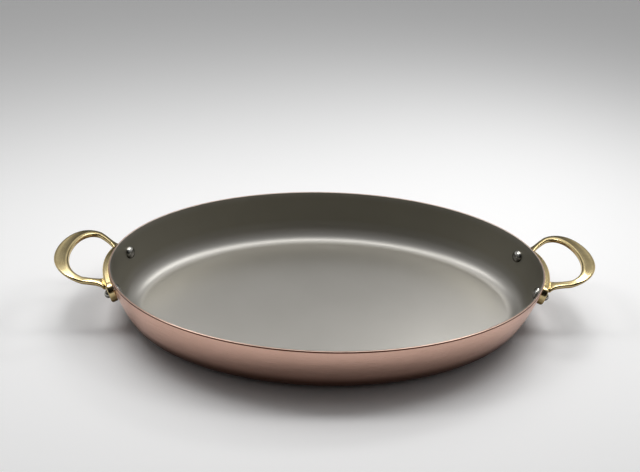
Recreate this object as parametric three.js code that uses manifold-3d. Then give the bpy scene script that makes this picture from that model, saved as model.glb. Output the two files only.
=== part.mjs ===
// An oval gratin pan: a dish of copper with a stainless steel lining bonded to its inside, and two
// cast brass loop handles, each held to an end of the oval by two solid rivets.
// Millimetres, +Z up. The origin is the middle of the flat bottom, where the pan stands, and X runs
// along the oval from handle to handle.
import * as THREE from "three";
import { mergeVertices } from "three/addons/utils/BufferGeometryUtils.js";
import Module from "manifold-3d";

const wasm = await Module();
wasm.setup();

const { clamp, degToRad, lerp } = THREE.MathUtils;

// Dish
const RIM_LENGTH = 350; // oval, outside the rim
const RIM_WIDTH = 230;
const DISH_HEIGHT = 47;
const RIM_LEAN = degToRad(7.5); // of the wall at the rim, from the vertical
const WALL_RADIUS = 155; // the wall is an arc that leans more on its way down
const BOTTOM_RADIUS = 14; // outside radius between the wall and the flat bottom
const COPPER_THICKNESS = 1.3;
const STEEL_THICKNESS = 0.3;

// Rivets
const RIVET_ACROSS = 57; // between the two rivets of a handle, along the rim's width
const RIVET_BELOW_RIM = 14.2;
const SHANK_DIAMETER = 5;
const INNER_HEAD_DIAMETER = 10.6;
const INNER_HEAD_HEIGHT = 2.6;
const OUTER_HEAD_DIAMETER = 7;
const OUTER_HEAD_HEIGHT = 3;
const SHANK_CLEARANCE = 0.15; // all round, in the dish and in the handle
const INNER_HEAD_GAP = 0.6; // the flat seat of the head clears the hollow of the wall
const OUTER_HEAD_GAP = 0.1;
const DRILL_LENGTH = 20; // passes right through the wall and the ear

// Handle base: a bar along the wall that ends in two ears, one round each rivet
const BASE_GAP = 0.3; // between the base and the copper
const BASE_THICKNESS = 5;
const BASE_ROUNDING = 1.5;
const BAR_BELOW_RIM = 1.4; // in the middle of the bar
const BAR_ARCH = 3.2; // how much lower the bar's top is at the rivets
const BAR_DEPTH = 7.5;
const EAR_HALF_WIDTH = 7.5;
const EAR_BELOW_RIVET = 6;
const EAR_SQUARENESS = 2.6; // 2 is an ellipse, more is squarer

// Handle loop in plan: the opening and the outside are half ellipses, measured from the rim's end
const OPENING_CENTRE = 14.4;
const OPENING_REACH = 15.6; // from its centre to its far side
const OPENING_HALF_WIDTH = 30;
const LOOP_CENTRE = 16;
const LOOP_REACH = 25.3;
const LOOP_HALF_WIDTH = 35.6;
const ROOT_HALF_WIDTH = 23.8; // to the inner side of an arm, where it enters the bar
const ROOT_ARM_WIDTH = 3.8;
const ROOT_BEND = 1.2; // power of the sideways bend between the half ellipse and the root
const ROOT_FILLET = 3.8; // extra width on the inner side of an arm at the bar
const ROOT_FILLET_LENGTH = 2.8;

// Handle loop from the side: it rises from the bar and levels off
const RIDGE_BELOW_RIM = 6.5; // its line, drawn on to the rim's end
const RIDGE_SLOPE = 0.68; // there
const RIDGE_RADIUS = 59; // of the curve with which it levels off
const LOOP_THICKNESS = 4;

// Sections of the loop: share of its width outwards, and height against the inner ridge's top as a
// share of its thickness. An arm has a crowned top and upright sides, and the thumb rest at the
// middle is wide and lightly hollow.
const ARM_SECTION = [
  [0, -0.9], [0, -0.25], [0.12, -0.04], [0.35, 0], [0.65, -0.05], [0.9, -0.17],
  [1, -0.36], [1, -0.85], [0.8, -1.06], [0.2, -1.1],
];
const REST_SECTION = [
  [0, -0.85], [0, -0.18], [0.06, -0.03], [0.16, 0], [0.3, -0.14], [0.62, -0.26],
  [0.92, -0.24], [1, -0.42], [0.9, -0.8], [0.16, -1],
];

// Facets
const OVAL_STEPS = 96;
const WALL_STEPS = 4;
const CORNER_STEPS = 5;
const BAR_STEPS = 40;
const EDGE_STEPS = 3;
const SEAT_STEPS = 4;
const ARM_STEPS = 7;
const LOOP_STEPS = 30;
const SECTION_STEPS = 18;
const RIVET_STEPS = 24;
const DOME_STEPS = 5;

const COPPER = new THREE.MeshStandardMaterial({ color: 0xb98273, roughness: 0.35, metalness: 1 });
const STEEL = new THREE.MeshStandardMaterial({ color: 0xa9a59b, roughness: 0.42, metalness: 1 });
const BRASS = new THREE.MeshStandardMaterial({ color: 0xc9b06e, roughness: 0.25, metalness: 1 });
const RIVET_STEEL = new THREE.MeshStandardMaterial({ color: 0xb9b8b2, roughness: 0.18, metalness: 1 });

const LENGTH_RADIUS = RIM_LENGTH / 2;
const WIDTH_RADIUS = RIM_WIDTH / 2;
const WALL_THICKNESS = COPPER_THICKNESS + STEEL_THICKNESS;
const RIVET_HEIGHT = DISH_HEIGHT - RIVET_BELOW_RIM;

// The rim's outline at an eccentric angle, and its outward normal there.
function outline(turn) {
  const point = new THREE.Vector3(LENGTH_RADIUS * Math.cos(turn), WIDTH_RADIUS * Math.sin(turn), 0);
  const normal = new THREE.Vector3(WIDTH_RADIUS * Math.cos(turn), LENGTH_RADIUS * Math.sin(turn), 0);
  return { point, normal: normal.normalize() };
}

// The eccentric angle at which the rim's outline passes a place along its width, at the +X end.
function turnAt(y) {
  return Math.asin(y / WIDTH_RADIUS);
}

// The outer skin's wall at a height: how far it lies inside the rim's outline, and how it leans.
function wallAt(height) {
  const lean = Math.asin(Math.sin(RIM_LEAN) + (DISH_HEIGHT - height) / WALL_RADIUS);
  return { inset: WALL_RADIUS * (Math.cos(RIM_LEAN) - Math.cos(lean)), lean };
}

// The point at a distance out from the outer skin, square to it. Height is taken on the skin.
function offWall(turn, height, distance) {
  const { point, normal } = outline(turn);
  const { inset, lean } = wallAt(height);
  return point
    .addScaledVector(normal, distance * Math.cos(lean) - inset)
    .setZ(height - distance * Math.sin(lean));
}

// The skin that lies a depth inside the outer one, from the flat bottom up to the rim, as points of
// (step in from the rim's outline, height). Two arcs that run into each other.
function skin(depth) {
  const wallRise = DISH_HEIGHT + WALL_RADIUS * Math.sin(RIM_LEAN);
  const meetLean = Math.asin((wallRise - BOTTOM_RADIUS) / (WALL_RADIUS - BOTTOM_RADIUS));
  const topLean = Math.asin((WALL_RADIUS * Math.sin(RIM_LEAN)) / (WALL_RADIUS - depth));
  const wallCentre = WALL_RADIUS * Math.cos(RIM_LEAN);
  const cornerCentre = wallCentre - (WALL_RADIUS - BOTTOM_RADIUS) * Math.cos(meetLean);
  const points = [];
  for (let i = 0; i < CORNER_STEPS; i++) {
    const lean = lerp(Math.PI / 2, meetLean, i / CORNER_STEPS);
    const radius = BOTTOM_RADIUS - depth;
    points.push(new THREE.Vector2(
      cornerCentre - radius * Math.cos(lean),
      BOTTOM_RADIUS - radius * Math.sin(lean),
    ));
  }
  for (let i = 0; i <= WALL_STEPS; i++) {
    const lean = lerp(meetLean, topLean, i / WALL_STEPS);
    const radius = WALL_RADIUS - depth;
    points.push(new THREE.Vector2(
      wallCentre - radius * Math.cos(lean),
      wallRise - radius * Math.sin(lean),
    ));
  }
  return points;
}

// A closed solid through rings of equal length, with a fan over the first and the last one. Seen
// from the side the rings advance to, each ring runs counterclockwise. Each quad is split along the
// diagonal that climbs counterclockwise, so two bodies on the same skin meet facet to facet.
function loft(rings) {
  const count = rings[0].length;
  const middle = (ring) => {
    const sum = ring.reduce((total, point) => total.add(point), new THREE.Vector3());
    return sum.divideScalar(count);
  };
  const points = [...rings.flat(), middle(rings[0]), middle(rings.at(-1))];
  const firstMiddle = points.length - 2;
  const lastMiddle = points.length - 1;
  const faces = [];
  for (let i = 0; i < count; i++) {
    const beside = (i + 1) % count;
    faces.push(firstMiddle, beside, i);
    for (let r = 0; r < rings.length - 1; r++) {
      const [a, b] = [r * count + i, r * count + beside];
      const [d, c] = [a + count, b + count];
      if (rings[r + 1][i].z > rings[r][i].z) faces.push(a, b, c, a, c, d);
      else faces.push(a, b, d, b, c, d);
    }
    const top = (rings.length - 1) * count;
    faces.push(lastMiddle, top + i, top + beside);
  }
  return new THREE.BufferGeometry().setFromPoints(points).setIndex(faces);
}

// A geometry as a solid that can be cut and joined.
function solid(geometry) {
  const bare = new THREE.BufferGeometry();
  bare.setAttribute("position", geometry.getAttribute("position").clone());
  bare.setIndex(geometry.index);
  const merged = mergeVertices(bare);
  return new wasm.Manifold(new wasm.Mesh({
    numProp: 3,
    vertProperties: new Float32Array(merged.attributes.position.array),
    triVerts: new Uint32Array(merged.index.array),
  }));
}

function geometryOf(manifold) {
  const { vertProperties, triVerts } = manifold.getMesh();
  const geometry = new THREE.BufferGeometry();
  geometry.setAttribute("position", new THREE.BufferAttribute(vertProperties, 3));
  geometry.setIndex(new THREE.BufferAttribute(triVerts, 1));
  return geometry;
}

// Where a rivet stands on the outer skin, as a frame whose +Z points out of the dish. End is 1 or
// -1 along X, and side 1 or -1 along Y.
function rivetFrame(end, side) {
  const turn = turnAt(RIVET_ACROSS / 2);
  const mirror = new THREE.Vector3(end, side, 1);
  const place = offWall(turn, RIVET_HEIGHT, 0).multiply(mirror);
  const axis = offWall(turn, RIVET_HEIGHT, 1).multiply(mirror).sub(place);
  const facing = new THREE.Quaternion().setFromUnitVectors(new THREE.Vector3(0, 0, 1), axis);
  return new THREE.Matrix4().compose(place, facing, new THREE.Vector3(1, 1, 1));
}

// Drills a body for the rivets at the places given as [end, side].
function drilled(body, places) {
  const radius = SHANK_DIAMETER / 2 + SHANK_CLEARANCE;
  return places.reduce((left, [end, side]) => {
    const drill = new THREE.CylinderGeometry(radius, radius, DRILL_LENGTH, RIVET_STEPS);
    drill.rotateX(Math.PI / 2).applyMatrix4(rivetFrame(end, side));
    return left.subtract(solid(drill));
  }, body);
}

// One bonded layer of the dish, between two depths below the outer skin.
function layer(outerDepth, innerDepth, rivetPlaces) {
  const profile = [...skin(outerDepth), ...skin(innerDepth).reverse()];
  const rings = profile.map(({ x: inset, y: height }) => {
    const ring = [];
    for (let i = 0; i < OVAL_STEPS; i++) {
      const { point, normal } = outline((2 * Math.PI * i) / OVAL_STEPS);
      ring.push(point.addScaledVector(normal, -inset).setZ(height));
    }
    return ring;
  });
  return geometryOf(drilled(solid(loft(rings)), rivetPlaces));
}

// The top and bottom edge of the handle's base, on the outer skin, at a place along the rim's width.
function baseEdges(y) {
  const fromRivet = Math.abs(y) - RIVET_ACROSS / 2;
  const share = clamp(Math.abs(fromRivet) / EAR_HALF_WIDTH, 0, 1);
  const bulge = (1 - share ** EAR_SQUARENESS) ** (1 / EAR_SQUARENESS);
  const along = Math.min(Math.abs(y) / (RIVET_ACROSS / 2), 1);
  const barTop = DISH_HEIGHT - BAR_BELOW_RIM - BAR_ARCH * along ** 2;
  const earBottom = RIVET_HEIGHT - EAR_BELOW_RIVET;
  if (fromRivet > 0) {
    return { top: lerp(RIVET_HEIGHT, barTop, bulge), bottom: lerp(RIVET_HEIGHT, earBottom, bulge) };
  }
  return { top: barTop, bottom: lerp(barTop - BAR_DEPTH, earBottom, bulge) };
}

// The base as sections across the bar, each with its two outer edges rounded.
function handleBase() {
  const rings = [];
  const halfLength = RIVET_ACROSS / 2 + EAR_HALF_WIDTH;
  for (let i = 0; i <= BAR_STEPS; i++) {
    const y = halfLength * Math.cos((Math.PI * i) / BAR_STEPS);
    const turn = turnAt(y);
    const { top, bottom } = baseEdges(y);
    const middle = (top + bottom) / 2;
    const half = Math.max((top - bottom) / 2, BASE_ROUNDING);
    const ring = [];
    for (const end of [-1, 1]) {
      for (let k = 0; k <= EDGE_STEPS; k++) {
        const angle = (Math.PI / 2) * (end < 0 ? k / EDGE_STEPS - 1 : k / EDGE_STEPS);
        ring.push(offWall(
          turn,
          middle + end * (half - BASE_ROUNDING) + BASE_ROUNDING * Math.sin(angle),
          BASE_GAP + BASE_THICKNESS - BASE_ROUNDING + BASE_ROUNDING * Math.cos(angle),
        ));
      }
    }
    for (let k = 0; k <= SEAT_STEPS; k++) {
      ring.push(offWall(turn, middle + half * (1 - (2 * k) / SEAT_STEPS), BASE_GAP));
    }
    rings.push(ring);
  }
  return loft(rings);
}

// The section of the loop at a share between arm and thumb rest, as a closed ring of points.
function loopSection(rest) {
  const marks = ARM_SECTION.map(([across, up], i) => new THREE.Vector3(
    lerp(across, REST_SECTION[i][0], rest),
    LOOP_THICKNESS * lerp(up, REST_SECTION[i][1], rest),
    0,
  ));
  return new THREE.CatmullRomCurve3(marks, true).getPoints(SECTION_STEPS).slice(0, -1);
}

// The two plan curves of the loop, from the front root round to the rear one, as pairs of a point
// on the opening and a point on the outside.
function loopPairs() {
  const openingX = LENGTH_RADIUS + OPENING_CENTRE;
  const loopX = LENGTH_RADIUS + LOOP_CENTRE;
  const { x: face } = offWall(turnAt(ROOT_HALF_WIDTH), DISH_HEIGHT - RIDGE_BELOW_RIM, BASE_THICKNESS);
  const start = face - BASE_THICKNESS / 2;
  const half = [];
  for (let i = 0; i < ARM_STEPS; i++) {
    const x = lerp(start, openingX, i / ARM_STEPS);
    const bend = ((openingX - x) / (openingX - face)) ** ROOT_BEND;
    const fillet = ROOT_FILLET * Math.exp(-Math.max(x - face, 0) / ROOT_FILLET_LENGTH);
    half.push([
      new THREE.Vector2(x, lerp(OPENING_HALF_WIDTH, ROOT_HALF_WIDTH, bend) - fillet),
      new THREE.Vector2(x, lerp(LOOP_HALF_WIDTH, ROOT_HALF_WIDTH + ROOT_ARM_WIDTH, bend)),
    ]);
  }
  for (let i = 0; i < LOOP_STEPS / 2; i++) {
    const turn = Math.PI / 2 - (Math.PI * i) / LOOP_STEPS;
    half.push([
      new THREE.Vector2(openingX + OPENING_REACH * Math.cos(turn), OPENING_HALF_WIDTH * Math.sin(turn)),
      new THREE.Vector2(loopX + LOOP_REACH * Math.cos(turn), LOOP_HALF_WIDTH * Math.sin(turn)),
    ]);
  }
  const middle = [
    new THREE.Vector2(openingX + OPENING_REACH, 0),
    new THREE.Vector2(loopX + LOOP_REACH, 0),
  ];
  const flipped = half.map((pair) => pair.map(({ x, y }) => new THREE.Vector2(x, -y)));
  return [...flipped, middle, ...half.reverse()];
}

// The height of the loop's inner ridge at a distance out from the rim's end.
function ridgeAt(out) {
  return DISH_HEIGHT - RIDGE_BELOW_RIM + RIDGE_SLOPE * out - out ** 2 / (2 * RIDGE_RADIUS);
}

// Past its arms the loop turns into the thumb rest as it gets wider.
function handleLoop() {
  const armWidth = LOOP_HALF_WIDTH - OPENING_HALF_WIDTH;
  const restWidth = LOOP_CENTRE + LOOP_REACH - OPENING_CENTRE - OPENING_REACH;
  const rings = loopPairs().map(([inner, outer]) => {
    const isArm = inner.x < LENGTH_RADIUS + OPENING_CENTRE;
    const growth = (inner.distanceTo(outer) - armWidth) / (restWidth - armWidth);
    return loopSection(isArm ? 0 : clamp(growth, 0, 1)).map(({ x: across, y: up }) => {
      const { x, y } = inner.clone().lerp(outer, across);
      return new THREE.Vector3(x, y, ridgeAt(x - LENGTH_RADIUS) + up);
    });
  });
  return loft(rings);
}

// A handle for the +X end. The one at the other end is the same casting, turned round.
function handle() {
  const casting = solid(handleBase()).add(solid(handleLoop()));
  return geometryOf(drilled(casting, [[1, -1], [1, 1]]));
}

// The round end of a rivet, from its middle to its edge. Away is the sign of the way it bulges.
function dome(diameter, height, seat, away) {
  const arc = [new THREE.Vector2(0, seat + away * height)];
  for (let i = 1; i <= DOME_STEPS; i++) {
    const angle = (Math.PI / 2) * (i / DOME_STEPS);
    arc.push(new THREE.Vector2(
      (diameter / 2) * Math.sin(angle),
      seat + away * height * Math.cos(angle),
    ));
  }
  return arc;
}

// A rivet with its shank along Z. The larger head is inside the dish, and the smaller one is set
// down on the handle's ear.
function rivet() {
  const innerSeat = -(WALL_THICKNESS + INNER_HEAD_GAP);
  const outerSeat = BASE_GAP + BASE_THICKNESS + OUTER_HEAD_GAP;
  const profile = [
    ...dome(INNER_HEAD_DIAMETER, INNER_HEAD_HEIGHT, innerSeat, -1),
    new THREE.Vector2(SHANK_DIAMETER / 2, innerSeat),
    new THREE.Vector2(SHANK_DIAMETER / 2, outerSeat),
    ...dome(OUTER_HEAD_DIAMETER, OUTER_HEAD_HEIGHT, outerSeat, 1).reverse(),
  ];
  return new THREE.LatheGeometry(profile, RIVET_STEPS).rotateX(Math.PI / 2);
}

function named(name, geometry, material) {
  const mesh = new THREE.Mesh(geometry, material);
  mesh.name = name;
  return mesh;
}

const ENDS = [["left", -1], ["right", 1]];
const SIDES = [["front", -1], ["rear", 1]];
const RIVET_PLACES = ENDS.flatMap(([, end]) => SIDES.map(([, side]) => [end, side]));

const pan = new THREE.Group();
pan.add(named("copper_shell", layer(0, COPPER_THICKNESS, RIVET_PLACES), COPPER));
pan.add(named("steel_lining", layer(COPPER_THICKNESS, WALL_THICKNESS, RIVET_PLACES), STEEL));

for (const [endName, end] of ENDS) {
  const casting = named(`handle_${endName}`, handle(), BRASS);
  if (end < 0) casting.rotation.z = Math.PI;
  pan.add(casting);
  for (const [sideName, side] of SIDES) {
    const pin = named(`rivet_${endName}_${sideName}`, rivet(), RIVET_STEEL);
    pin.applyMatrix4(rivetFrame(end, side));
    pan.add(pin);
  }
}

export default pan;
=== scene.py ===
"""An oval gratin pan: a copper dish with a steel lining and two cast brass loop handles.

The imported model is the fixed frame. A fine surface of the same shape, worked out here from the
same few sizes, stands for each of its solids and has a finish of its own. Metres, +Z up. The
origin is the middle of the flat bottom, and X runs along the oval from handle to handle.
"""

import logging
import math
from dataclasses import dataclass, field
from enum import Enum

import bpy
import numpy as np
from mathutils import Matrix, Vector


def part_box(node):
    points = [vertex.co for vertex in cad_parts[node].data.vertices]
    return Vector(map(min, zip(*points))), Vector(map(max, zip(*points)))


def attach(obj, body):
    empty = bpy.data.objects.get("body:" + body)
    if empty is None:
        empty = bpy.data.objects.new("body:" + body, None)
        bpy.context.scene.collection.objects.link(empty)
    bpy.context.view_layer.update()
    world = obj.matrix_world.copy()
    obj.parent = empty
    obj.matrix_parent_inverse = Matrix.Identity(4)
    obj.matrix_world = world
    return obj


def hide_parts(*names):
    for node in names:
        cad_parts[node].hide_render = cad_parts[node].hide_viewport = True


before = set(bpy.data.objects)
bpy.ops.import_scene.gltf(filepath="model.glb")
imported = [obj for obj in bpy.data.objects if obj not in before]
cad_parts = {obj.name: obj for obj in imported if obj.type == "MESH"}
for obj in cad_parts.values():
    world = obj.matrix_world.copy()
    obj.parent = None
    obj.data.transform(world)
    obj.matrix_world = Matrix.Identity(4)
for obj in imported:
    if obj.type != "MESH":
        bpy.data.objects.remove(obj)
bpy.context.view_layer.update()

LOG = logging.getLogger("gratin_pan")
BODY = "root"
SURFACE_UV = "surface"
MILLIMETRE = 0.001
QUARTER_TURN = math.pi / 2
FULL_TURN = 2 * math.pi
CREASE_ANGLE = math.radians(50)

Tone = tuple[float, float, float]
Span = tuple[float, float]


class End(Enum):
    """The two ends of the oval, as the sign of X."""

    LEFT = -1
    RIGHT = 1


class Side(Enum):
    """The two long sides of the oval, as the sign of Y."""

    FRONT = -1
    REAR = 1


# Curves and meshes


def full_circle(count: int) -> np.ndarray:
    """Give evenly spaced angles once round, from 0."""
    return np.linspace(0, FULL_TURN, count, endpoint=False)


def closed_curve(marks: np.ndarray, count: int) -> np.ndarray:
    """Carry a smooth closed curve through marks.

    A centripetal Catmull-Rom curve: between two marks it is a cubic whose end slopes follow from
    the square roots of the distances to the next marks on both sides.

    Args:
        marks: Points to pass through, as (..., marks, axes).
        count: How many points the curve gets.

    Returns:
        The curve's points, as (..., count, axes).
    """
    total = marks.shape[-2]
    place = np.arange(count) * total / count
    first = place.astype(int)
    share = (place - first)[:, None]
    p0, p1, p2, p3 = (np.take(marks, (first + k - 1) % total, axis=-2) for k in range(4))
    d0, d1, d2 = (
        np.sqrt(np.linalg.norm(b - a, axis=-1, keepdims=True))
        for a, b in ((p0, p1), (p1, p2), (p2, p3))
    )
    start = d1 * ((p1 - p0) / d0 - (p2 - p0) / (d0 + d1) + (p2 - p1) / d1)
    stop = d1 * ((p2 - p1) / d1 - (p3 - p1) / (d1 + d2) + (p3 - p2) / d2)
    square = 3 * (p2 - p1) - 2 * start - stop
    cube = 2 * (p1 - p2) + start + stop
    return p1 + share * (start + share * (square + share * cube))


def ring_shape(rings: np.ndarray) -> tuple[np.ndarray, np.ndarray, np.ndarray]:
    """Close a surface through rings, with a fan of triangles over the first and the last one.

    Each ring runs counterclockwise, seen from the side that the rings advance to, so that the
    faces look outwards.

    Args:
        rings: The points, as (rings, points in a ring, 3).

    Returns:
        All points with the two middles last, the four-sided faces, and the fans' triangles.
    """
    count, around = rings.shape[:2]
    points = np.concatenate([rings.reshape(-1, 3), rings[[0, -1]].mean(axis=1)])
    here = np.arange(around)
    beside = (here + 1) % around
    row = around * np.arange(count - 1)[:, None]
    quads = np.stack([row + here, row + beside, row + beside + around, row + here + around], axis=-1)
    last_row = around * (count - 1)
    low_middle = np.full(around, around * count)
    low_fan = np.stack([low_middle, beside, here], axis=-1)
    high_fan = np.stack([low_middle + 1, last_row + here, last_row + beside], axis=-1)
    return points, quads.reshape(-1, 4), np.concatenate([low_fan, high_fan])


def corner_places(*corners: tuple[object, object]) -> np.ndarray:
    """Put the U and V of a face's corners into one row for each corner."""
    return np.stack([np.stack(np.broadcast_arrays(*corner), axis=-1) for corner in corners], axis=-2)


def ring_uv(rings: np.ndarray) -> np.ndarray:
    """Lay out the surface of ring_shape in metres.

    U is the length run round the longest ring. V is the mean length run across the rings, and
    starts in the middle of the first one.

    Args:
        rings: The points, as (rings, points in a ring, 3).

    Returns:
        U and V of each face's corners, in the faces' order, as (corners, 2).
    """
    reach = np.linalg.norm(rings[0] - rings[0].mean(axis=0), axis=-1).mean()
    steps = np.linalg.norm(np.diff(rings, axis=0), axis=-1).mean(axis=1)
    v = reach + np.concatenate([[0], np.cumsum(steps)])
    closed = np.concatenate([rings, rings[:, :1]], axis=1)
    lengths = np.linalg.norm(np.diff(closed, axis=1), axis=-1)
    longest = lengths[lengths.sum(axis=1).argmax()]
    u = np.concatenate([[0], np.cumsum(longest)])
    here, beside = u[:-1], u[1:]
    middle = (here + beside) / 2
    below, above = v[:-1, None], v[1:, None]
    faces = (
        corner_places((here, below), (beside, below), (beside, above), (here, above)),
        corner_places((middle, 0), (beside, v[0]), (here, v[0])),
        corner_places((middle, v[-1] + reach), (here, v[-1]), (beside, v[-1])),
    )
    return np.concatenate([corners.reshape(-1, 2) for corners in faces])


def surface_mesh(name: str, surfaces: list[np.ndarray]) -> bpy.types.Mesh:
    """Make one mesh of closed surfaces that lie side by side or cross.

    Args:
        name: The mesh's name.
        surfaces: The rings of each surface.

    Returns:
        The mesh, with its faces outwards.
    """
    points = np.empty((0, 3))
    faces = []
    for rings in surfaces:
        places, quads, fans = ring_shape(rings)
        faces += [*(quads + len(points)).tolist(), *(fans + len(points)).tolist()]
        points = np.concatenate([points, places])
    mesh = bpy.data.meshes.new(name)
    mesh.from_pydata(points.tolist(), [], faces)
    return mesh


def ringed_mesh(name: str, rings: np.ndarray) -> bpy.types.Mesh:
    """Make a smooth closed mesh from rings, with a UV map in metres.

    Args:
        name: The mesh's name.
        rings: The points, as (rings, points in a ring, 3).

    Returns:
        The mesh, with its faces outwards.
    """
    mesh = surface_mesh(name, [rings])
    mesh.shade_smooth()
    layer = mesh.uv_layers.new(name=SURFACE_UV)
    layer.data.foreach_set("uv", ring_uv(rings).astype(np.float32).ravel())
    return mesh


def new_object(name: str, mesh: bpy.types.Mesh) -> bpy.types.Object:
    """Put a mesh into the scene.

    Args:
        name: The object's name.
        mesh: The mesh.

    Returns:
        The object, at the origin.
    """
    made = bpy.data.objects.new(name, mesh)
    bpy.context.scene.collection.objects.link(made)
    return made


def apply_modifiers(piece: bpy.types.Object) -> None:
    """Bake an object's modifiers into its mesh.

    Args:
        piece: The object.
    """
    depsgraph = bpy.context.evaluated_depsgraph_get()
    mesh = bpy.data.meshes.new_from_object(piece.evaluated_get(depsgraph))
    piece.modifiers.clear()
    piece.data = mesh


def cut_holes(piece: bpy.types.Object, drills: list[bpy.types.Mesh]) -> None:
    """Cut holes through a piece.

    Args:
        piece: The piece to cut.
        drills: Closed meshes of what is cut away.
    """
    tools = [new_object(drill.name, drill) for drill in drills]
    for tool in tools:
        cut = piece.modifiers.new(tool.name, "BOOLEAN")
        cut.object = tool
        cut.operation = "DIFFERENCE"
        cut.solver = "MANIFOLD"
    apply_modifiers(piece)
    for tool in tools:
        bpy.data.objects.remove(tool)


# Shared effects

NOISE_DETAIL = 3.0
DRIFT_SPAN = (0.3, 0.7)
LINE_SPAN = (0.2, 0.8)
# Heights of a normal between which a face turns from top to underside, over which the painted shade of
# undersides fades in.
UNDERSIDE_SPAN = (0.45, -0.25)


def opaque(tone: Tone) -> tuple[float, float, float, float]:
    """Give a tone as a colour socket takes it."""
    return (*tone, 1.0)


class NodeSheet:
    """A node tree that nodes are added to in few words."""

    def __init__(self, tree: bpy.types.NodeTree) -> None:
        """Start on an empty tree."""
        self.tree = tree
        tree.nodes.clear()

    def add(self, kind: str, wires: dict | None = None, **settings: object) -> bpy.types.Node:
        """Add a node.

        Args:
            kind: The node's type.
            wires: For an input's name or number, the socket that feeds it or its own value.
            **settings: The node's own properties.

        Returns:
            The node.
        """
        made = self.tree.nodes.new(kind)
        for name, value in settings.items():
            setattr(made, name, value)
        for key, value in (wires or {}).items():
            if isinstance(value, bpy.types.NodeSocket):
                self.tree.links.new(value, made.inputs[key])
            else:
                made.inputs[key].default_value = value
        return made

    def math(self, operation: str, first: object, second: object = 0.0) -> bpy.types.NodeSocket:
        """Add a Math node and return its result."""
        return self.add("ShaderNodeMath", {0: first, 1: second}, operation=operation).outputs[0]

    def height(self, vector: bpy.types.NodeSocket) -> bpy.types.NodeSocket:
        """Add a node that takes the Z of a vector, and return it."""
        return self.add("ShaderNodeSeparateXYZ", {0: vector}).outputs["Z"]

    def noise(self, vector: bpy.types.NodeSocket, scale: object = 1.0) -> bpy.types.NodeSocket:
        """Add a Noise node and return its value."""
        wires = {"Vector": vector, "Scale": scale, "Detail": NOISE_DETAIL}
        return self.add("ShaderNodeTexNoise", wires).outputs[0]

    def ramp(self, value: bpy.types.NodeSocket, span: Span,
             result: Span = (0.0, 1.0)) -> bpy.types.NodeSocket:
        """Add a smooth step from one number to another.

        Args:
            value: The value to change.
            span: The value's range.
            result: The results at the two ends of the range.

        Returns:
            The result.
        """
        wires = {"Value": value, "From Min": span[0], "From Max": span[1],
                 "To Min": result[0], "To Max": result[1]}
        return self.add("ShaderNodeMapRange", wires, interpolation_type="SMOOTHSTEP").outputs[0]

    def blend(self, share: object, first: object, second: object) -> bpy.types.NodeSocket:
        """Add a Mix node that goes from one number to another, and return its result."""
        return self.add("ShaderNodeMix", {"Factor": share, "A": first, "B": second}).outputs[0]

    def mix(self, share: object, first: object, second: object) -> bpy.types.NodeSocket:
        """Add a Mix node that goes from one colour to another.

        Args:
            share: The second colour's share.
            first: The first colour.
            second: The second colour.

        Returns:
            The result.
        """
        wires = {"Factor": share, "A": first, "B": second}
        outputs = self.add("ShaderNodeMix", wires, data_type="RGBA").outputs
        return next(socket for socket in outputs if socket.type == "RGBA")

    def effect(self, group: bpy.types.NodeTree, wires: dict) -> bpy.types.NodeSocket:
        """Add a shared effect and return its result."""
        return self.add("ShaderNodeGroup", wires, node_tree=group).outputs[0]


def new_group(name: str, inputs: dict[str, str],
              outputs: dict[str, str]) -> tuple[NodeSheet, bpy.types.Node, bpy.types.Node]:
    """Start a shader node group.

    Args:
        name: The group's name.
        inputs: Socket type for each input's name.
        outputs: Socket type for each output's name.

    Returns:
        The sheet, the node that gives the inputs, and the node that takes the outputs.
    """
    tree = bpy.data.node_groups.new(name, "ShaderNodeTree")
    for sockets, way in ((inputs, "INPUT"), (outputs, "OUTPUT")):
        for label, kind in sockets.items():
            tree.interface.new_socket(label, in_out=way, socket_type=f"NodeSocket{kind}")
    sheet = NodeSheet(tree)
    return sheet, sheet.add("NodeGroupInput"), sheet.add("NodeGroupOutput")


def polish_lines() -> bpy.types.NodeTree:
    """Build the effect of fine lines that polishing leaves: noise drawn out along the first axis.

    Returns:
        A group with inputs Vector, Length and Width in metres, and the output Lines from 0 to 1.
    """
    sheet, given, result = new_group(
        "polish_lines", {"Vector": "Vector", "Length": "Float", "Width": "Float"}, {"Lines": "Float"}
    )
    along = sheet.math("DIVIDE", 1.0, given.outputs["Length"])
    across = sheet.math("DIVIDE", 1.0, given.outputs["Width"])
    scale = sheet.add("ShaderNodeCombineXYZ", {"X": along, "Y": across, "Z": across})
    wires = {0: given.outputs["Vector"], 1: scale.outputs[0]}
    drawn = sheet.add("ShaderNodeVectorMath", wires, operation="MULTIPLY")
    sheet.tree.links.new(sheet.noise(drawn.outputs[0]), result.inputs["Lines"])
    return sheet.tree


def tone_drift() -> bpy.types.NodeTree:
    """Build the effect of a colour that drifts a little from place to place.

    Returns:
        A group with inputs Vector, Size in metres, Light and Dark, and the output Color.
    """
    sheet, given, result = new_group(
        "tone_drift",
        {"Vector": "Vector", "Size": "Float", "Light": "Color", "Dark": "Color"},
        {"Color": "Color"},
    )
    scale = sheet.math("DIVIDE", 1.0, given.outputs["Size"])
    share = sheet.ramp(sheet.noise(given.outputs["Vector"], scale), DRIFT_SPAN)
    color = sheet.mix(share, given.outputs["Dark"], given.outputs["Light"])
    sheet.tree.links.new(color, result.inputs["Color"])
    return sheet.tree


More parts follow.
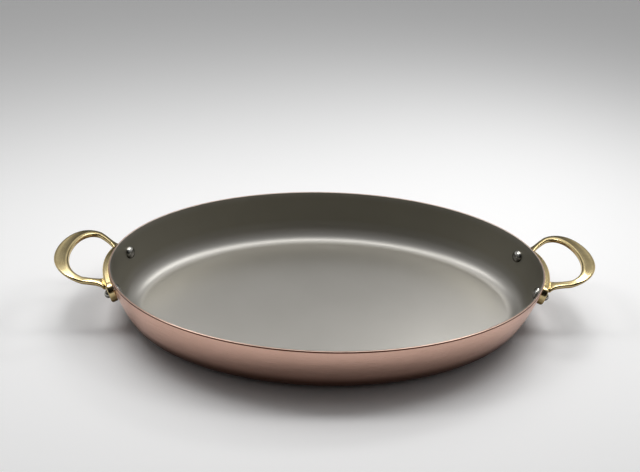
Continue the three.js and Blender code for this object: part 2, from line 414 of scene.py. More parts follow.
def level_mask() -> bpy.types.NodeTree:
    """Build the mask of a band of heights, with edges that fade over a blur to both sides.

    Returns:
        A group with inputs Vector, Low, High and Blur in metres, and the output Mask from 0 to 1.
    """
    sheet, given, result = new_group(
        "level_mask", {"Vector": "Vector", "Low": "Float", "High": "Float", "Blur": "Float"},
        {"Mask": "Float"},
    )
    height = sheet.height(given.outputs["Vector"])
    over = sheet.math("SUBTRACT", height, given.outputs["Low"])
    under = sheet.math("SUBTRACT", given.outputs["High"], height)
    edges = [
        sheet.ramp(sheet.math("DIVIDE", way, given.outputs["Blur"]), (-1.0, 1.0))
        for way in (over, under)
    ]
    sheet.tree.links.new(sheet.math("MULTIPLY", *edges), result.inputs["Mask"])
    return sheet.tree


def underside_shade_mask() -> bpy.types.NodeTree:
    """Build the mask of the faces that look down, which get a painted shade.

    Returns:
        A group with the input Normal, and the output Mask from 0 on top to 1 underneath.
    """
    sheet, given, result = new_group("underside_shade_mask", {"Normal": "Vector"}, {"Mask": "Float"})
    upward = sheet.height(given.outputs["Normal"])
    sheet.tree.links.new(sheet.ramp(upward, UNDERSIDE_SPAN), result.inputs["Mask"])
    return sheet.tree


# Finishes


@dataclass(frozen=True)
class Level:
    """A band of heights in which a metal has another tone and roughness. Depths run down from the rim."""

    top_depth: float
    low_depth: float
    blur: float
    tone: Tone
    roughness: float


@dataclass(frozen=True)
class MetalFinish:
    """A bare metal whose tone drifts, with fine lines in its surface."""

    name: str
    slot: str
    light: Tone
    dark: Tone
    drift_size: float
    roughness: float
    roughness_spread: float
    line_length: float
    line_width: float
    line_depth: float
    follows_surface: bool
    levels: tuple[Level, ...] = ()
    # Tone painted on the faces that look down, as painted shade.
    underside_shade_tone: Tone | None = None

    def material(self, effects: dict[str, bpy.types.NodeTree], rim: float) -> bpy.types.Material:
        """Build the material.

        Args:
            effects: The shared effects by name.
            rim: The height of the rim.

        Returns:
            The material.
        """
        made = bpy.data.materials.new(self.name)
        made.use_nodes = True
        sheet = NodeSheet(made.node_tree)
        place = line_place = sheet.add("ShaderNodeTexCoord").outputs["Object"]
        if self.follows_surface:
            line_place = sheet.add("ShaderNodeUVMap", uv_map=SURFACE_UV).outputs[0]
        lines = sheet.effect(
            effects["polish_lines"],
            {"Vector": line_place, "Length": self.line_length, "Width": self.line_width},
        )
        color = sheet.effect(
            effects["tone_drift"],
            {"Vector": place, "Size": self.drift_size,
             "Light": opaque(self.light), "Dark": opaque(self.dark)},
        )
        rough = sheet.ramp(
            lines, LINE_SPAN,
            (self.roughness - self.roughness_spread, self.roughness + self.roughness_spread),
        )
        # Some levels are painted shade or a painted highlight, as the finishes say.
        for level in self.levels:
            mask = sheet.effect(
                effects["level_mask"],
                {"Vector": place, "Low": rim - level.low_depth, "High": rim - level.top_depth,
                 "Blur": level.blur},
            )
            color = sheet.mix(mask, color, opaque(level.tone))
            rough = sheet.blend(mask, rough, level.roughness)
        # Faces that look down get a painted shade.
        if self.underside_shade_tone is not None:
            normal = sheet.add("ShaderNodeNewGeometry").outputs["Normal"]
            mask = sheet.effect(effects["underside_shade_mask"], {"Normal": normal})
            color = sheet.mix(mask, color, opaque(self.underside_shade_tone))
        bump = sheet.add("ShaderNodeBump", {"Height": lines, "Distance": self.line_depth})
        shader = sheet.add(
            "ShaderNodeBsdfPrincipled",
            {"Base Color": color, "Metallic": 1.0, "Roughness": rough, "Normal": bump.outputs[0]},
        )
        sheet.add("ShaderNodeOutputMaterial", {"Surface": shader.outputs[0]})
        return made


# The copper's levels: the cut edge of the sheet, a dark line under it that is a painted reflection of the
# dark room, and the foot, darkened as painted shade.
COPPER = MetalFinish(
    name="satin_copper", slot="copper",
    light=(0.79, 0.51, 0.41), dark=(0.75, 0.48, 0.38), drift_size=50 * MILLIMETRE,
    roughness=0.3, roughness_spread=0.05,
    line_length=30 * MILLIMETRE, line_width=0.3 * MILLIMETRE, line_depth=0.02 * MILLIMETRE,
    follows_surface=True,
    levels=(
        Level(top_depth=-0.5 * MILLIMETRE, low_depth=0.12 * MILLIMETRE, blur=0.05 * MILLIMETRE,
              tone=(0.66, 0.48, 0.39), roughness=0.3),
        # Painted reflection: a near-black line just under the rim, where the rounded edge reflects the dark
        # room.
        Level(top_depth=0.2 * MILLIMETRE, low_depth=1.3 * MILLIMETRE, blur=0.1 * MILLIMETRE,
              tone=(0.1, 0.025, 0.012), roughness=0.4),
        # Painted shade: the copper darkens towards the foot, where it reflects the floor's shadow under the
        # pan.
        Level(top_depth=33 * MILLIMETRE, low_depth=60 * MILLIMETRE, blur=6 * MILLIMETRE,
              tone=(0.21, 0.08, 0.045), roughness=0.3),
    ),
)
# The lining's levels: the upper wall, darkened as painted shade; the bottom corner, paler as a painted
# highlight; and the cut edge.
LINING = MetalFinish(
    name="satin_steel", slot="lining_steel",
    light=(0.452, 0.436, 0.404), dark=(0.432, 0.416, 0.384), drift_size=60 * MILLIMETRE,
    roughness=0.36, roughness_spread=0.03,
    line_length=10 * MILLIMETRE, line_width=0.4 * MILLIMETRE, line_depth=0.01 * MILLIMETRE,
    follows_surface=True,
    levels=(
        # Painted shade: the upper wall is darker, for its reflection of the dark room.
        Level(top_depth=1 * MILLIMETRE, low_depth=31 * MILLIMETRE, blur=6 * MILLIMETRE,
              tone=(0.315, 0.3, 0.25), roughness=0.45),
        # Painted highlight: the bottom corner is paler, where it reflects the lamps overhead.
        Level(top_depth=35.5 * MILLIMETRE, low_depth=42 * MILLIMETRE, blur=3.5 * MILLIMETRE,
              tone=(0.5, 0.487, 0.458), roughness=0.58),
        Level(top_depth=-0.5 * MILLIMETRE, low_depth=0.2 * MILLIMETRE, blur=0.1 * MILLIMETRE,
              tone=(0.6, 0.57, 0.52), roughness=0.3),
    ),
)
BRASS = MetalFinish(
    name="polished_brass", slot="cast_brass",
    light=(0.83, 0.68, 0.37), dark=(0.74, 0.59, 0.3), drift_size=12 * MILLIMETRE,
    roughness=0.2, roughness_spread=0.05,
    line_length=4 * MILLIMETRE, line_width=0.6 * MILLIMETRE, line_depth=0.01 * MILLIMETRE,
    follows_surface=False,
    # Painted shade: dark brown on the faces that look down.
    underside_shade_tone=(0.2, 0.135, 0.05),
)
RIVET = MetalFinish(
    name="polished_rivet", slot="rivet_steel",
    light=(0.58, 0.57, 0.53), dark=(0.46, 0.45, 0.42), drift_size=4 * MILLIMETRE,
    roughness=0.16, roughness_spread=0.04,
    line_length=2 * MILLIMETRE, line_width=0.4 * MILLIMETRE, line_depth=0.01 * MILLIMETRE,
    follows_surface=False,
    # Painted shade: near-black on the faces that look down.
    underside_shade_tone=(0.06, 0.055, 0.045),
)


@dataclass(frozen=True)
class Polisher:
    """Gives each piece its finish, and lets it stand for a solid of the frame."""

    materials: dict[str, bpy.types.Material]

    def dress(self, piece: bpy.types.Object, finish: MetalFinish, node: str) -> None:
        """Dress one piece.

        Args:
            piece: The piece.
            finish: Its finish.
            node: The solid that it stands for.
        """
        piece.data.materials.clear()
        piece.data.materials.append(self.materials[finish.name])
        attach(piece, BODY)
        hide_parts(node)
        LOG.info("%s stands for %s, with %d faces", piece.name, node, len(piece.data.polygons))


# Dish


@dataclass
class Dish:
    """The oval dish: a flat bottom, a round corner and a flared wall, in two bonded layers."""

    half_length: float
    half_width: float
    height: float
    rim_lean: float = math.radians(7.5)
    wall_radius: float = 155 * MILLIMETRE
    bottom_radius: float = 14 * MILLIMETRE
    copper: float = 1.3 * MILLIMETRE
    steel: float = 0.3 * MILLIMETRE
    rim_rounding: float = 0.6 * MILLIMETRE
    lip_rounding: float = 0.15 * MILLIMETRE
    around: int = 480
    floor_rings: int = 14
    corner_rings: int = 14
    wall_rings: int = 36
    edge_rings: int = 5

    def outline(self, turn: np.ndarray) -> tuple[np.ndarray, np.ndarray]:
        """Give the rim's outline, an ellipse, and its outward normals.

        Args:
            turn: Eccentric angles.

        Returns:
            Points and normals, each as (angles, 3).
        """
        cos, sin, zero = np.cos(turn), np.sin(turn), np.zeros_like(turn)
        points = np.stack([self.half_length * cos, self.half_width * sin, zero], axis=-1)
        normals = np.stack([self.half_width * cos, self.half_length * sin, zero], axis=-1)
        return points, normals / np.linalg.norm(normals, axis=-1, keepdims=True)

    def turn_at(self, y: np.ndarray) -> np.ndarray:
        """Give the eccentric angle at which the outline passes a place across, at the +X end."""
        return np.arcsin(y / self.half_width)

    def off_wall(self, turn: np.ndarray, height: np.ndarray, distance: np.ndarray) -> np.ndarray:
        """Give points at a distance out from the outer skin, square to it.

        The wall is an arc in each upright plane: its lean grows with the depth below the rim, as
        the arc's sine does, and its inset from the rim is the difference of the cosines.

        Args:
            turn: Eccentric angles.
            height: Heights on the skin.
            distance: Distances from the skin, outwards.

        Returns:
            The points, as (..., 3).
        """
        points, normals = self.outline(turn)
        lean = np.arcsin(np.sin(self.rim_lean) + (self.height - height) / self.wall_radius)
        inset = self.wall_radius * (np.cos(self.rim_lean) - np.cos(lean))
        placed = points + normals * (distance * np.cos(lean) - inset)[..., None]
        placed[..., 2] = height - distance * np.sin(lean)
        return placed

    def skin(self, depth: float, top: float) -> np.ndarray:
        """Give the profile of a skin of the dish, from the bottom corner up.

        Two arcs that run into each other: the bottom corner, and the wall about a far centre.

        Args:
            depth: How far the skin lies inside the outer one.
            top: The height at which it ends.

        Returns:
            Insets from the rim's outline and heights, as (rings, 2).
        """
        rise = self.height + self.wall_radius * math.sin(self.rim_lean)
        meet = math.asin((rise - self.bottom_radius) / (self.wall_radius - self.bottom_radius))
        end = math.asin((rise - top) / (self.wall_radius - depth))
        centre = self.wall_radius * math.cos(self.rim_lean)
        corner_centre = centre - (self.wall_radius - self.bottom_radius) * math.cos(meet)
        corner = np.linspace(QUARTER_TURN, meet, self.corner_rings, endpoint=False)
        wall = np.linspace(meet, end, self.wall_rings)
        small, large = self.bottom_radius - depth, self.wall_radius - depth
        insets = [corner_centre - small * np.cos(corner), centre - large * np.cos(wall)]
        heights = [self.bottom_radius - small * np.sin(corner), rise - large * np.sin(wall)]
        return np.stack([np.concatenate(insets), np.concatenate(heights)], axis=-1)

    def rounded(self, skin: np.ndarray, radius: float, way: int) -> np.ndarray:
        """Add a rounded edge to the top of a skin.

        A quarter circle that starts at the skin's end and turns to the level.

        Args:
            skin: The skin's profile, which ends one radius below the rim.
            radius: The edge's radius.
            way: 1 where the edge turns inwards, -1 where it turns outwards.

        Returns:
            The longer profile.
        """
        angle = np.linspace(0, QUARTER_TURN, self.edge_rings + 1)[1:]
        insets = skin[-1, 0] + way * radius * (1 - np.cos(angle))
        heights = skin[-1, 1] + radius * np.sin(angle)
        return np.concatenate([skin, np.stack([insets, heights], axis=-1)])

    def layer(self, name: str, outer: np.ndarray, inner: np.ndarray) -> bpy.types.Object:
        """Make one layer of the dish between two skins.

        Both profiles are carried round the oval, square to its outline. Over the flat bottom the
        lowest ring of each is drawn in to the middle.

        Args:
            name: The piece's name.
            outer: The outer skin's profile.
            inner: The inner skin's profile.

        Returns:
            The piece.
        """
        points, normals = self.outline(full_circle(self.around))
        profile = np.concatenate([outer, inner[::-1]])
        wall = points - normals * profile[:, 0, None, None]
        wall[..., 2] = profile[:, 1, None]
        share = np.linspace(0, 1, self.floor_rings + 1)[1:-1, None, None]
        under = wall[0] * [1, 1, 0] * share + [0, 0, outer[0, 1]]
        over = wall[-1] * [1, 1, 0] * share[::-1] + [0, 0, inner[0, 1]]
        return new_object(name, ringed_mesh(name, np.concatenate([under, wall, over])))

    def copper_layer(self) -> bpy.types.Object:
        """Make the copper body, with the outer edge of its rim rounded."""
        outer = self.rounded(self.skin(0, self.height - self.rim_rounding), self.rim_rounding, 1)
        return self.layer("copper_body", outer, self.skin(self.copper, self.height))

    def steel_layer(self) -> bpy.types.Object:
        """Make the bonded steel lining, with the inner edge of its rim rounded.

        Returns:
            The piece.
        """
        depth = self.copper + self.steel
        inner = self.rounded(self.skin(depth, self.height - self.lip_rounding), self.lip_rounding, -1)
        return self.layer("steel_inside", self.skin(self.copper, self.height), inner)

    def build(self, drills: list[bpy.types.Mesh], polisher: Polisher) -> None:
        """Make, drill and dress both layers.

        Args:
            drills: What the rivets' holes are cut with.
            polisher: Who dresses the pieces.
        """
        for layer, finish, node in (
            (self.copper_layer(), COPPER, "copper_shell"),
            (self.steel_layer(), LINING, "steel_lining"),
        ):
            cut_holes(layer, drills)
            polisher.dress(layer, finish, node)


# Rivets


@dataclass
class Rivet:
    """A solid rivet: a large round head inside the dish, and a small one on the ear outside."""

    dish: Dish
    ear_face: float
    across: float = 57 * MILLIMETRE
    below_rim: float = 14.2 * MILLIMETRE
    shank: float = 5 * MILLIMETRE
    clearance: float = 0.15 * MILLIMETRE
    inner_diameter: float = 10.6 * MILLIMETRE
    inner_height: float = 2.98 * MILLIMETRE
    inner_gap: float = 0.22 * MILLIMETRE
    outer_diameter: float = 7 * MILLIMETRE
    outer_height: float = 3 * MILLIMETRE
    outer_gap: float = 0.1 * MILLIMETRE
    around: int = 64
    dome_rings: int = 20
    drill_length: float = 20 * MILLIMETRE

    def place(self, end: End, side: Side) -> np.ndarray:
        """Give a rivet's frame on the outer skin.

        Args:
            end: The end of the oval.
            side: The side of the oval.

        Returns:
            Rows of two level axes, the axis out of the dish, and the place, as (4, 3).
        """
        turn = self.dish.turn_at(np.array([self.across / 2]))
        height = np.array([self.dish.height - self.below_rim])
        mirror = np.array([end.value, side.value, 1])
        foot = self.dish.off_wall(turn, height, 0 * height)[0] * mirror
        axis = self.dish.off_wall(turn, height, 0 * height + 1)[0] * mirror - foot
        level = np.cross([0, 0, 1], axis)
        level /= np.linalg.norm(level)
        return np.stack([level, np.cross(axis, level), axis, foot])

    def turned(self, name: str, profile: np.ndarray, end: End, side: Side) -> bpy.types.Mesh:
        """Turn a profile about a rivet's axis.

        Args:
            name: The mesh's name.
            profile: Radii and heights along the axis, as (rings, 2).
            end: The end of the oval.
            side: The side of the oval.

        Returns:
            The closed mesh.
        """
        turn = full_circle(self.around)
        radius, height = profile[:, :1], profile[:, 1:]
        local = np.broadcast_arrays(radius * np.cos(turn), radius * np.sin(turn), height, 1.0)
        return ringed_mesh(name, np.stack(local, axis=-1) @ self.place(end, side))

    def dome(self, diameter: float, height: float, seat: float, away: int) -> np.ndarray:
        """Give the profile of a head from its edge to its top, a quarter ellipse.

        Args:
            diameter: The head's diameter.
            height: The head's height.
            seat: Where it sits along the axis.
            away: The sign of the way that it bulges.

        Returns:
            Radii and heights, as (rings, 2).
        """
        angle = np.linspace(0, QUARTER_TURN, self.dome_rings, endpoint=False)
        return np.stack(
            [diameter / 2 * np.cos(angle), seat + away * height * np.sin(angle)], axis=-1
        )

    def drill(self, end: End, side: Side) -> bpy.types.Mesh:
        """Make the round bar that a rivet's hole is cut with.

        Args:
            end: The end of the oval.
            side: The side of the oval.

        Returns:
            The bar's mesh.
        """
        radius = self.shank / 2 + self.clearance
        half = self.drill_length / 2
        return self.turned("drill", np.array([[radius, -half], [radius, half]]), end, side)

    def piece(self, end: End, side: Side) -> bpy.types.Object:
        """Make one rivet.

        Args:
            end: The end of the oval.
            side: The side of the oval.

        Returns:
            The piece.
        """
        name = f"{end.name}_{side.name}_rivet".lower()
        inner_seat = -(self.dish.copper + self.dish.steel + self.inner_gap)
        outer_seat = self.ear_face + self.outer_gap
        inner = self.dome(self.inner_diameter, self.inner_height, inner_seat, -1)
        outer = self.dome(self.outer_diameter, self.outer_height, outer_seat, 1)
        radius = self.shank / 2
        shank = np.array([[radius, inner_seat], [radius, outer_seat]])
        mesh = self.turned(name, np.concatenate([inner[::-1], shank, outer]), end, side)
        mesh.set_sharp_from_angle(angle=CREASE_ANGLE)
        return new_object(name, mesh)

    def build(self, end: End, side: Side, polisher: Polisher) -> None:
        """Make and dress one rivet."""
        polisher.dress(self.piece(end, side), RIVET, f"rivet_{end.name}_{side.name}".lower())


# Handles


@dataclass
class Handle:
    """A cast loop handle: a bar along the wall with two ears, and a loop with a wide thumb rest."""

    dish: Dish
    rivet: Rivet
    gap: float = 0.3 * MILLIMETRE
    thickness: float = 5 * MILLIMETRE
    rounding: float = 1.5 * MILLIMETRE
    bar_below_rim: float = 1.4 * MILLIMETRE
    bar_arch: float = 3.2 * MILLIMETRE
    bar_depth: float = 7.5 * MILLIMETRE
    ear_half_width: float = 7.5 * MILLIMETRE
    ear_below_rivet: float = 6 * MILLIMETRE
    ear_squareness: float = 2.6
    opening_centre: float = 14.4 * MILLIMETRE
    opening_reach: float = 15.6 * MILLIMETRE
    opening_half_width: float = 30 * MILLIMETRE
    loop_centre: float = 16 * MILLIMETRE
    loop_reach: float = 25.3 * MILLIMETRE
    loop_half_width: float = 35.6 * MILLIMETRE
    root_half_width: float = 23.8 * MILLIMETRE
    root_arm_width: float = 3.8 * MILLIMETRE
    root_bend: float = 1.2
    inner_fillet: float = 5 * MILLIMETRE
    inner_fillet_length: float = 3.4 * MILLIMETRE
    outer_fillet: float = 3.6 * MILLIMETRE
    outer_fillet_length: float = 2.2 * MILLIMETRE
    ridge_below_rim: float = 6.55 * MILLIMETRE
    ridge_slope: float = 0.68
    ridge_radius: float = 59 * MILLIMETRE
    loop_thickness: float = 4 * MILLIMETRE
    # Marks of the two sections, from the opening outwards: shares of the loop's width and thickness.
    arm_section: np.ndarray = field(default_factory=lambda: np.array([
        [0, -0.9], [0, -0.25], [0.12, -0.04], [0.35, 0], [0.65, -0.05], [0.9, -0.17],
        [1, -0.36], [1, -0.85], [0.8, -1.06], [0.2, -1.1],
    ]))
    rest_section: np.ndarray = field(default_factory=lambda: np.array([
        [0, -0.85], [0, -0.18], [0.06, -0.03], [0.16, 0], [0.3, -0.14], [0.62, -0.26],
        [0.92, -0.24], [1, -0.42], [0.9, -0.8], [0.16, -1],
    ]))
    grain: float = 0.3 * MILLIMETRE
    softening_share: float = 0.5
    softening_rounds: int = 8
    bar_rings: int = 160
    arm_rings: int = 60
    rest_rings: int = 160
    around: int = 96
    edge_points: int = 12
    seat_points: int = 12

    def base_edges(self, y: np.ndarray) -> tuple[np.ndarray, np.ndarray]:
        """Give the upper and the lower edge of the bar and its ears.

        The bar's top is a parabola, and its depth is even. Outside the rivets both edges run
        together as a superellipse, and inside them the ears bulge below the bar in the same way.

        Args:
            y: Places across.

        Returns:
            The heights of both edges.
        """
        rivet_y = self.rivet.across / 2
        rivet_z = self.dish.height - self.rivet.below_rim
        share = np.clip(np.abs(np.abs(y) - rivet_y) / self.ear_half_width, 0, 1)
        bulge = (1 - share ** self.ear_squareness) ** (1 / self.ear_squareness)
        along = np.minimum(np.abs(y) / rivet_y, 1)
        bar_top = self.dish.height - self.bar_below_rim - self.bar_arch * along ** 2
        outside = np.abs(y) - rivet_y > 0
        top = np.where(outside, rivet_z + (bar_top - rivet_z) * bulge, bar_top)
        bar_bottom = np.where(outside, rivet_z, bar_top - self.bar_depth)
        ear_bottom = rivet_z - self.ear_below_rivet
        return top, bar_bottom + (ear_bottom - bar_bottom) * bulge

    def base_surface(self) -> np.ndarray:
        """Work out the bar and the two ears, as rings across the bar from rear to front.

        A ring runs along the wall at the bar's face, turns over both edges in quarter circles and
        comes back along the seat.

        Returns:
            The rings, as (rings, points in a ring, 3).
        """
        widest = self.rivet.across / 2 + self.ear_half_width
        y = widest * np.cos(np.linspace(0, math.pi, self.bar_rings))
        top, bottom = self.base_edges(y)
        middle = (top + bottom) / 2
        half = np.maximum((top - bottom) / 2, self.rounding)
        angle = np.linspace(0, QUARTER_TURN, self.edge_points)
        edges = np.concatenate([angle - QUARTER_TURN, angle])
        way = np.repeat([-1, 1], self.edge_points)
        straight = (half - self.rounding)[:, None] * way
        seat = half[:, None] * np.linspace(1, -1, self.seat_points)
        rise = np.concatenate([straight + self.rounding * np.sin(edges), seat], axis=1)
        height = middle[:, None] + rise
        face = self.gap + self.thickness - self.rounding + self.rounding * np.cos(edges)
        distance = np.concatenate([face, np.full(self.seat_points, self.gap)]) + 0 * height
        turn = self.dish.turn_at(y)[:, None] + 0 * height
        return self.dish.off_wall(turn, height, distance)

    def opening_x(self) -> float:
        """Give how far out the opening is widest, where arms and thumb rest meet."""
        return self.dish.half_length + self.opening_centre

    def loop_plan(self) -> tuple[np.ndarray, np.ndarray]:
        """Work out the loop's two edges in plan, from the front root round to the rear one.

        The opening and the outside are half ellipses that run on into the arms. An arm draws in
        towards its root as a power of the distance, and fillets that fade as an exponential widen
        it at the bar's face.

        Returns:
            The inner and the outer edge, each as (places, 2).
        """
        opening_x = self.opening_x()
        loop_x = self.dish.half_length + self.loop_centre
        root = self.dish.off_wall(
            self.dish.turn_at(np.array([self.root_half_width])),
            np.array([self.dish.height - self.ridge_below_rim]),
            np.array([self.thickness]),
        )
        face = root[0, 0]
        x = np.linspace(face - self.thickness / 2, opening_x, self.arm_rings, endpoint=False)
        bend = ((opening_x - x) / (opening_x - face)) ** self.root_bend
        away = np.maximum(x - face, 0)
        inner_fillet = self.inner_fillet * np.exp(-away / self.inner_fillet_length)
        outer_fillet = self.outer_fillet * np.exp(-away / self.outer_fillet_length)
        root_outer = self.root_half_width + self.root_arm_width
        inner_y = self.opening_half_width + (self.root_half_width - self.opening_half_width) * bend
        outer_y = self.loop_half_width + (root_outer - self.loop_half_width) * bend
        arm_inner = np.stack([x, inner_fillet - inner_y], axis=-1)
        arm_outer = np.stack([x, -outer_y - outer_fillet], axis=-1)
        turn = np.linspace(-QUARTER_TURN, QUARTER_TURN, self.rest_rings)
        cos, sin = np.cos(turn), np.sin(turn)
        rest_inner = [opening_x + self.opening_reach * cos, self.opening_half_width * sin]
        rest_outer = [loop_x + self.loop_reach * cos, self.loop_half_width * sin]
        inner, outer = (
            np.concatenate([arm, np.stack(rest, axis=-1), arm[::-1] * [1, -1]])
            for arm, rest in ((arm_inner, rest_inner), (arm_outer, rest_outer))
        )
        return inner, outer

    def loop_surface(self) -> np.ndarray:
        """Work out the loop, as rings from the front root round to the rear one.

        At each place a closed section spans the two edges of the plan. It is an arm's section up
        to the ends of the arms, and turns into the thumb rest's as the loop gets wider. The
        ridge rises from the bar with a slope and falls off as a parabola.

        Returns:
            The rings, as (rings, points in a ring, 3).
        """
        inner, outer = self.loop_plan()
        arm_width = self.loop_half_width - self.opening_half_width
        rest_width = self.loop_centre + self.loop_reach - self.opening_centre - self.opening_reach
        width = np.linalg.norm(outer - inner, axis=-1)
        rest = np.clip((width - arm_width) / (rest_width - arm_width), 0, 1)
        rest = np.where(inner[:, 0] < self.opening_x(), 0, rest)[:, None, None]
        marks = self.arm_section + (self.rest_section - self.arm_section) * rest
        section = closed_curve(marks, self.around)
        plan = inner[:, None] + (outer - inner)[:, None] * section[..., :1]
        out = plan[..., 0] - self.dish.half_length
        ridge = self.dish.height - self.ridge_below_rim + self.ridge_slope * out
        height = ridge - out ** 2 / (2 * self.ridge_radius) + self.loop_thickness * section[..., 1]
        return np.concatenate([plan, height[..., None]], axis=-1)

    def piece(self, end: End) -> bpy.types.Object:
        """Make one handle.

        Base and loop are melted into one skin of fine cells, softened as a polished casting is,
        and drilled for the rivets. The left one is the right one turned half round.

        Args:
            end: The end of the oval.

        Returns:
            The piece.
        """
        name = f"{end.name}_handle".lower()
        turned = np.array([end.value, end.value, 1])
        surfaces = [self.base_surface() * turned, self.loop_surface() * turned]
        made = new_object(name, surface_mesh(name, surfaces))
        melt = made.modifiers.new("melt", "REMESH")
        melt.mode = "VOXEL"
        melt.voxel_size = self.grain
        soften = made.modifiers.new("soften", "SMOOTH")
        soften.factor = self.softening_share
        soften.iterations = self.softening_rounds
        apply_modifiers(made)
        cut_holes(made, [self.rivet.drill(end, side) for side in Side])
        made.data.shade_smooth()
        made.data.set_sharp_from_angle(angle=CREASE_ANGLE)
        return made

    def build(self, end: End, polisher: Polisher) -> None:
        """Make and dress one handle."""
        polisher.dress(self.piece(end), BRASS, f"handle_{end.name}".lower())


# Studio


@dataclass(frozen=True)
class SoftLight:
    """A soft patch of light in the room, placed by the way to its middle as seen from the pan."""

    height: float
    bearing: float
    strength: float
    tightness: float = 12.0

    def glow(self, sheet: NodeSheet, way: bpy.types.NodeSocket) -> bpy.types.NodeSocket:
        """Give the patch's light in a direction.

        It is strength * exp(tightness * (cos(a) - 1)), where a is the angle from the middle.

        Args:
            sheet: The world's sheet.
            way: The direction.

        Returns:
            The light's strength.
        """
        height, bearing = math.radians(self.height), math.radians(self.bearing)
        flat = math.cos(height)
        middle = (flat * math.sin(bearing), flat * math.cos(bearing), math.sin(height))
        cosine = sheet.add("ShaderNodeVectorMath", {0: way, 1: middle}, operation="DOT_PRODUCT")
        power = sheet.math("MULTIPLY", sheet.math("SUBTRACT", cosine.outputs["Value"], 1.0), self.tightness)
        return sheet.math("MULTIPLY", sheet.math("EXPONENT", power), self.strength)


# Heights and bearings in degrees. A bearing of 0 is the rear, and 90 the right.
ROOM = (
    SoftLight(height=14, bearing=60, strength=0.8),
    SoftLight(height=14, bearing=-60, strength=0.66),
    SoftLight(height=20, bearing=-125, strength=0.05),
    SoftLight(height=38, bearing=100, strength=0.36),
    SoftLight(height=38, bearing=-100, strength=0.24),
    SoftLight(height=60, bearing=0, strength=1.45),
)


@dataclass(frozen=True)
class Lamp:
    """A flat lamp that hangs over the pan and shines straight down. Power in watts."""

    name: str
    x: float
    y: float
    power: float
    height: float = 0.5
    length: float = 0.24
    width: float = 0.1

    def hang(self) -> None:
        """Put the lamp into the scene."""
        data = bpy.data.lights.new(self.name, "AREA")
        data.shape = "RECTANGLE"
        data.size, data.size_y = self.length, self.width
        data.energy = self.power
        lamp = bpy.data.objects.new(self.name, data)
        lamp.location = (self.x, self.y, self.height)
        bpy.context.scene.collection.objects.link(lamp)


LAMPS = (
    Lamp(name="left_front_lamp", x=-0.28, y=-0.08, power=0.06),
    Lamp(name="front_lamp", x=0.0, y=-0.08, power=0.06),
    Lamp(name="right_front_lamp", x=0.28, y=-0.08, power=0.04),
    Lamp(name="left_lamp", x=-0.28, y=0.04, power=0.64),
    Lamp(name="middle_lamp", x=0.0, y=0.04, power=0.27),
    Lamp(name="right_lamp", x=0.28, y=0.04, power=0.6),
    Lamp(name="left_rear_lamp", x=-0.28, y=0.16, power=0.22),
    Lamp(name="right_rear_lamp", x=0.28, y=0.16, power=0.18),
    Lamp(name="left_back_lamp", x=-0.28, y=0.3, power=0.1),
    Lamp(name="right_back_lamp", x=0.28, y=0.3, power=0.62),
)


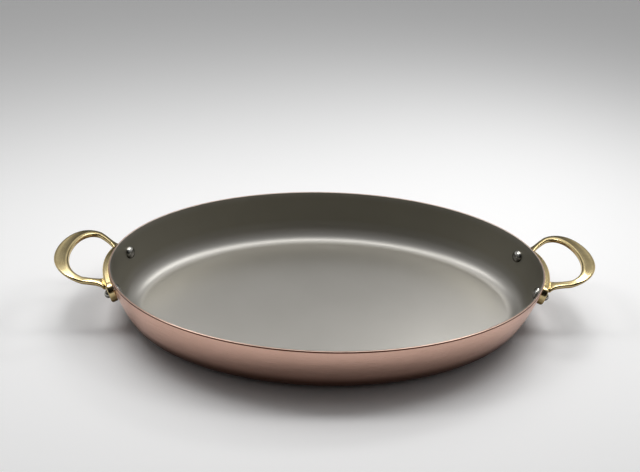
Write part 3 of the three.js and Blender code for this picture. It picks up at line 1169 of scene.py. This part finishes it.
@dataclass
class Studio:
    """A plain pale floor, a room of soft light, and the camera."""

    camera_place: tuple[float, float, float] = (-0.0434, -0.47323, 0.3575)
    camera_turn: float = math.radians(-4.186)
    camera_tilt: float = math.radians(58.611)
    camera_roll: float = math.radians(2.869)
    lens: float = 39.375
    floor_radius: float = 4.0
    floor_points: int = 96
    floor_tone: float = 0.65
    floor_seen_tone: float = 1.0
    scatter_limit: float = 0.5

    def build(self) -> None:
        """Set up the floor, the light, the camera and the way colours are shown."""
        self.build_floor()
        self.build_world()
        for lamp in LAMPS:
            lamp.hang()
        self.build_camera()
        bpy.context.scene.view_settings.view_transform = "Standard"

    def build_floor(self) -> None:
        """Lay the floor, a large disc."""
        turn = full_circle(self.floor_points)
        rim = np.stack([np.cos(turn), np.sin(turn), 0 * turn], axis=-1) * self.floor_radius
        mesh = bpy.data.meshes.new("floor")
        mesh.from_pydata(rim.tolist(), [], [list(range(self.floor_points))])
        mesh.materials.append(self.floor_paint())
        new_object("floor", mesh)

    def floor_paint(self) -> bpy.types.Material:
        """Build the floor's paint.

        It is paler for the camera, and in the pan's reflections of it, than where it throws its
        light back at the pan.

        Returns:
            The material.
        """
        paint = bpy.data.materials.new("pale_floor")
        paint.use_nodes = True
        sheet = NodeSheet(paint.node_tree)
        path = sheet.add("ShaderNodeLightPath").outputs
        mirrored = sheet.math("MAXIMUM", path["Is Glossy Ray"], path["Is Transmission Ray"])
        seen = sheet.math("MAXIMUM", path["Is Camera Ray"], mirrored)
        unscattered = sheet.math("LESS_THAN", path["Diffuse Depth"], self.scatter_limit)
        share = sheet.math("MULTIPLY", seen, unscattered)
        wires = {"Value": share, "To Min": self.floor_tone, "To Max": self.floor_seen_tone}
        tone = sheet.add("ShaderNodeMapRange", wires).outputs[0]
        shader = sheet.add("ShaderNodeBsdfDiffuse", {"Color": tone})
        sheet.add("ShaderNodeOutputMaterial", {"Surface": shader.outputs[0]})
        return paint

    def build_world(self) -> None:
        """Light the room with its soft patches."""
        world = bpy.data.worlds.new("studio")
        bpy.context.scene.world = world
        world.use_nodes = True
        sheet = NodeSheet(world.node_tree)
        way = sheet.add("ShaderNodeTexCoord").outputs["Generated"]
        light = 0.0
        for patch in ROOM:
            light = sheet.math("ADD", light, patch.glow(sheet, way))
        shade = sheet.add("ShaderNodeBackground", {"Color": opaque((1.0, 1.0, 1.0)), "Strength": light})
        sheet.add("ShaderNodeOutputWorld", {"Surface": shade.outputs[0]})

    def build_camera(self) -> None:
        """Place the camera where the picture was taken from."""
        data = bpy.data.cameras.new("camera")
        data.lens = self.lens
        camera = bpy.data.objects.new("camera", data)
        turn = Matrix.Rotation(self.camera_turn, 4, "Z")
        tilt = Matrix.Rotation(self.camera_tilt, 4, "X")
        roll = Matrix.Rotation(self.camera_roll, 4, "Z")
        camera.matrix_world = Matrix.Translation(self.camera_place) @ turn @ tilt @ roll
        bpy.context.scene.collection.objects.link(camera)
        bpy.context.scene.camera = camera


def main() -> None:
    """Build the pan and its studio."""
    Studio().build()
    _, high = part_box("copper_shell")
    effects = {"polish_lines": polish_lines(), "tone_drift": tone_drift(), "level_mask": level_mask(),
               "underside_shade_mask": underside_shade_mask()}
    finishes = (COPPER, LINING, BRASS, RIVET)
    polisher = Polisher({finish.name: finish.material(effects, high.z) for finish in finishes})

    dish = Dish(half_length=high.x, half_width=high.y, height=high.z)
    rivet = Rivet(dish, ear_face=Handle.gap + Handle.thickness)
    handle = Handle(dish, rivet)
    dish.build([rivet.drill(end, side) for end in End for side in Side], polisher)
    for end in End:
        handle.build(end, polisher)
        for side in Side:
            rivet.build(end, side, polisher)


if __name__ == "__main__":
    logging.basicConfig(level=logging.INFO)
    main()
